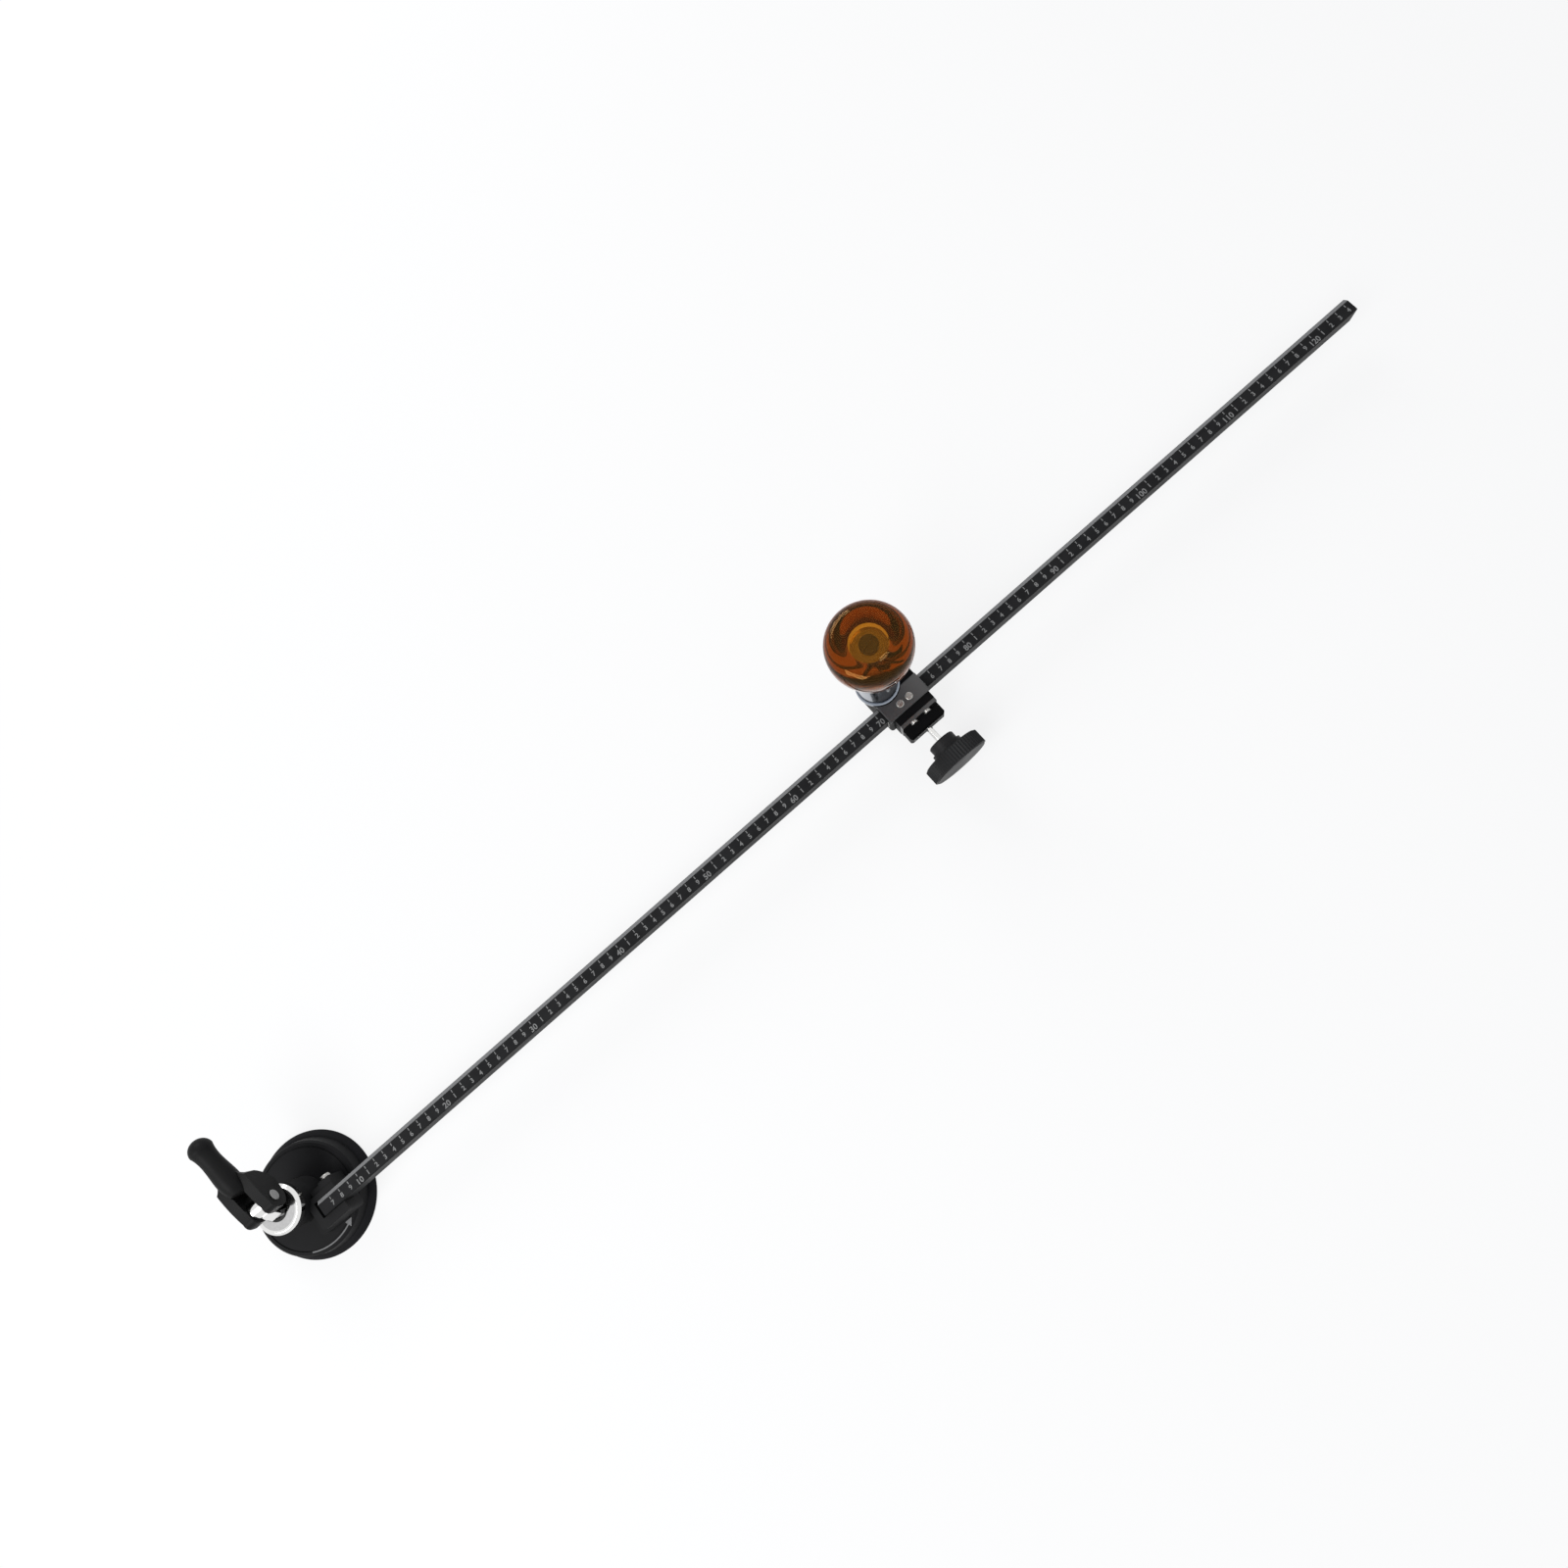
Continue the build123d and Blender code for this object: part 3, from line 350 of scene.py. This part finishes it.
def zone(tree, vector, tests):
    """One where every test holds. A test has an axis, or R for the radius, and two limits."""
    parts = tree.nodes.new("ShaderNodeSeparateXYZ")
    tree.links.new(vector, parts.inputs["Vector"])
    total = None
    for axis, low, high in tests:
        value = radius_from_axis(tree, vector) if axis == "R" else parts.outputs[axis]
        for limit, operation in ((low, "GREATER_THAN"), (high, "LESS_THAN")):
            held = math_node(tree, operation, value, limit * MM)
            total = held if total is None else math_node(tree, "MULTIPLY", total, held)
    return total


def repaint(material, tests, colour):
    """Paints light or shade onto a zone of the surface as another colour."""
    tree = material.node_tree
    shader = tree.nodes["Principled BSDF"]
    coords = [n for n in tree.nodes if n.bl_idname == "ShaderNodeTexCoord"][0]
    vector = coords.outputs["Object"]
    before = shader.inputs["Base Color"].links[0].from_socket
    ramp = tree.nodes.new("ShaderNodeValToRGB")
    ramp.color_ramp.elements[0].color = [c * (1 - ZONE_SPREAD) for c in colour] + [1]
    ramp.color_ramp.elements[1].color = [c * (1 + ZONE_SPREAD) for c in colour] + [1]
    tree.links.new(noise(tree, vector, ZONE_GRAIN), ramp.inputs["Fac"])
    mix = tree.nodes.new("ShaderNodeMixRGB")
    tree.links.new(zone(tree, vector, tests), mix.inputs["Fac"])
    tree.links.new(before, mix.inputs["Color1"])
    tree.links.new(ramp.outputs["Color"], mix.inputs["Color2"])
    tree.links.new(mix.outputs["Color"], shader.inputs["Base Color"])


def slot_materials():
    """The material of each slot in the record."""
    made = {name: painted(name, *values) for name, *values in PAINTS}
    made.update((name, metal(name, *values)) for name, *values in METALS)
    made["clear_amber"] = amber("clear_amber")
    # Painted highlight and painted shade, each in its zone
    for name, tests, colour in PAINTED_LIGHT_ZONES:
        repaint(made[name], tests, colour)
    return made


SLOTS = slot_materials()


def dress_nodes():
    """Gives each node the material of its slot."""
    for row in frame["record"]["subparts"]:
        mesh = nodes[row["node"]].data
        mesh.materials.clear()
        mesh.materials.append(SLOTS[row["material_slot"]])


def linked(name, data):
    """A new object in the scene."""
    piece = bpy.data.objects.new(name, data)
    bpy.context.scene.collection.objects.link(piece)
    return piece


def mesh_piece(name, points, faces, material, body):
    """A new mesh piece that rides on a body."""
    mesh = bpy.data.meshes.new(name)
    mesh.from_pydata(points, [], faces)
    mesh.update()
    piece = linked(name, mesh)
    mesh.materials.append(material)
    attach(piece, body)
    return piece


def lathe(name, profile, material, body):
    """A closed profile turned about the pivot's axis."""
    count = len(profile)
    points = []
    for turn in range(PAD_TURNS):
        angle = 2 * math.pi * turn / PAD_TURNS
        across, along = math.cos(angle), math.sin(angle)
        for radius, height in profile:
            points.append((radius * MM * across, radius * MM * along, height * MM))
    faces = []
    for turn in range(PAD_TURNS):
        here = turn * count
        there = (turn + 1) % PAD_TURNS * count
        for i in range(count):
            j = (i + 1) % count
            faces.append((here + i, there + i, there + j, here + j))
    piece = mesh_piece(name, points, faces, material, body)
    piece.data.shade_smooth()
    smooth = piece.modifiers.new("edges", "EDGE_SPLIT")
    smooth.split_angle = math.radians(PAD_EDGE_ANGLE)
    return piece


def rubber_pad():
    """The pad's lip stays on the glass, and its boss moves with the stud that it grips."""
    rubber = SLOTS["black_rubber"]
    lip = lathe("pad_lip", PAD_PROFILE, rubber, "base")
    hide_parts("suction_pad")
    lathe("pad_boss", BOSS_PROFILE, rubber, "stud")


def text_points(words, height):
    """Points and faces of printed digits, centred on their own middle, in millimetres."""
    curve = bpy.data.curves.new("digits", "FONT")
    curve.body = words
    curve.size = height / FONT_CAP_SHARE
    curve.align_x = "CENTER"
    curve.align_y = "CENTER"
    curve.resolution_u = DIGIT_CURVE_STEPS
    curve.offset = DIGIT_BOLD
    curve.extrude = (MARK_PROUD + MARK_SINK) / 2
    holder = linked("digits", curve)
    bpy.context.view_layer.update()
    mesh = bpy.data.meshes.new_from_object(holder)
    ys = [v.co.y for v in mesh.vertices]
    middle = (max(ys) + min(ys)) / 2
    points = [(v.co.x, v.co.y - middle, v.co.z) for v in mesh.vertices]
    faces = [tuple(p.vertices) for p in mesh.polygons]
    bpy.data.objects.remove(holder)
    bpy.data.curves.remove(curve)
    bpy.data.meshes.remove(mesh)
    return points, faces


def scale_marks():
    """Ticks and numbers on the bar's top."""
    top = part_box("scale_bar")[1].z / MM
    level = top + (MARK_PROUD - MARK_SINK) / 2
    points = []
    faces = []

    def add(new_points, new_faces, x, y):
        start = len(points)
        points.extend(((a + x) * MM, (b + y) * MM, (c + level) * MM) for a, b, c in new_points)
        faces.extend(tuple(start + i for i in face) for face in new_faces)

    half = TICK_WIDTH / 2
    deep = (MARK_PROUD + MARK_SINK) / 2
    length = TICK_START_Y - TICK_END_Y
    outline = ((-half, -length), (half, -length), (half, 0), (-half, 0))
    corners = [(x, y, z) for z in (-deep, deep) for x, y in outline]
    sides = [(3, 2, 1, 0), (4, 5, 6, 7), (0, 1, 5, 4), (1, 2, 6, 5), (2, 3, 7, 6), (3, 0, 4, 7)]
    drawn = {}
    for number in range(SCALE_LOW, SCALE_HIGH + 1):
        x = SCALE_FIRST_X + SCALE_STEP * (number - SCALE_FIRST_LABEL)
        add(corners, sides, x, TICK_START_Y)
        labelled = number % SCALE_LABEL_EVERY == 0
        words = str(number) if labelled else str(number % SCALE_LABEL_EVERY)
        if words not in drawn:
            drawn[words] = text_points(words, LABEL_HEIGHT if labelled else DIGIT_HEIGHT)
        add(*drawn[words], x, LABEL_Y if labelled else DIGIT_Y)
    grey = printed("mark_grey", MARK_COLOUR)
    mesh_piece("scale_marks", points, faces, grey, "arm")


def cap_arrow():
    """Curved arrow printed on the cap."""
    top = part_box("pad_housing")[1].z / MM
    half = ARROW_WIDTH / 2
    rows = []
    for step in range(ARROW_STEPS + 1):
        angle = math.radians(ARROW_START + (ARROW_END - ARROW_START) * step / ARROW_STEPS)
        rows.append((angle, half))
    rows.append((math.radians(ARROW_END), ARROW_HEAD_HALF))
    rows.append((math.radians(ARROW_TIP), half * ARROW_TIP_SHARE))
    points = []
    for angle, reach in rows:
        across, along = math.cos(angle), math.sin(angle)
        inner, outer = ARROW_RADIUS - reach, ARROW_RADIUS + reach
        low, high = -MARK_SINK, MARK_PROUD
        for radius, z in ((inner, low), (outer, low), (outer, high), (inner, high)):
            points.append((radius * MM * across, radius * MM * along, (top + z) * MM))
    faces = [(0, 1, 2, 3)]
    for row in range(len(rows) - 1):
        a, b = row * 4, row * 4 + 4
        for i in range(4):
            j = (i + 1) % 4
            faces.append((a + i, b + i, b + j, a + j))
    last = (len(rows) - 1) * 4
    faces.append((last + 3, last + 2, last + 1, last))
    white = printed("arrow_white", ARROW_COLOUR)
    mesh_piece("cap_arrow", points, faces, white, "base")


def camera():
    """The photograph's viewpoint."""
    c, s = math.cos(CAMERA_TILT), math.sin(CAMERA_TILT)
    right = Vector((BAR_RIGHT, -BAR_UP * c, -BAR_UP * s))
    up = Vector((BAR_UP, BAR_RIGHT * c, BAR_RIGHT * s))
    back = Vector((0, -s, c))
    data = bpy.data.cameras.new("camera")
    data.sensor_fit = "HORIZONTAL"
    data.sensor_width = SENSOR
    data.lens = LENS
    data.clip_start = CLIP_START
    holder = linked("camera", data)
    turn = Matrix((right, up, back)).transposed()
    holder.matrix_world = Matrix.Translation(CAMERA_PLACE) @ turn.to_4x4()
    bpy.context.scene.camera = holder


def seen_rays(tree):
    """One where a ray comes from the camera, a mirror or clear plastic."""
    path = tree.nodes.new("ShaderNodeLightPath")
    total = path.outputs["Is Camera Ray"]
    for name in ("Is Glossy Ray", "Is Transmission Ray"):
        total = math_node(tree, "MAXIMUM", total, path.outputs[name])
    return total


def floor():
    """White floor that keeps a pale shadow."""
    mesh = bpy.data.meshes.new("floor")
    signs = ((-1, -1), (1, -1), (1, 1), (-1, 1))
    corners = [(x * FLOOR_HALF, y * FLOOR_HALF, 0) for x, y in signs]
    mesh.from_pydata(corners, [], [(0, 1, 2, 3)])
    piece = linked("floor", mesh)
    piece.location.z = -FLOOR_DROP
    material, tree, shader, vector = new_material("floor_white")
    spread_colour(tree, shader, noise(tree, vector, FLOOR_GRAIN), FLOOR_COLOUR, FLOOR_SPREAD)
    shader.inputs["Roughness"].default_value = FLOOR_ROUGH
    shader.inputs["Specular IOR Level"].default_value = 0.0
    glow = tree.nodes.new("ShaderNodeEmission")
    glow.inputs["Strength"].default_value = 1.0
    share = math_node(tree, "MULTIPLY", seen_rays(tree), FLOOR_GLOW_SHARE)
    mix = tree.nodes.new("ShaderNodeMixShader")
    tree.links.new(share, mix.inputs["Fac"])
    tree.links.new(shader.outputs["BSDF"], mix.inputs[1])
    tree.links.new(glow.outputs["Emission"], mix.inputs[2])
    tree.links.new(mix.outputs["Shader"], tree.nodes["Material Output"].inputs["Surface"])
    mesh.materials.append(material)


def lamp(name, place, size, energy):
    """A soft square lamp aimed at the bar."""
    data = bpy.data.lights.new(name, "AREA")
    data.size = size
    data.energy = energy
    holder = linked(name, data)
    holder.location = place
    aim = Vector(LAMP_TARGET) - Vector(place)
    holder.rotation_euler = aim.to_track_quat("-Z", "Y").to_euler()


def world():
    """Soft surrounding light, white where it is seen."""
    surround = bpy.data.worlds.new("surround")
    bpy.context.scene.world = surround
    surround.use_nodes = True
    tree = surround.node_tree
    soft = tree.nodes["Background"]
    soft.inputs["Color"].default_value = SOFT_COLOUR
    soft.inputs["Strength"].default_value = SOFT_STRENGTH
    white = tree.nodes.new("ShaderNodeBackground")
    white.inputs["Color"].default_value = (1, 1, 1, 1)
    white.inputs["Strength"].default_value = 1.0
    mix = tree.nodes.new("ShaderNodeMixShader")
    tree.links.new(seen_rays(tree), mix.inputs["Fac"])
    tree.links.new(soft.outputs["Background"], mix.inputs[1])
    tree.links.new(white.outputs["Background"], mix.inputs[2])
    tree.links.new(mix.outputs["Shader"], tree.nodes["World Output"].inputs["Surface"])


dress_nodes()
rubber_pad()
scale_marks()
cap_arrow()
camera()
floor()
world()
for lamp_values in LAMPS:
    lamp(*lamp_values)
bpy.context.scene.view_settings.view_transform = "Standard"
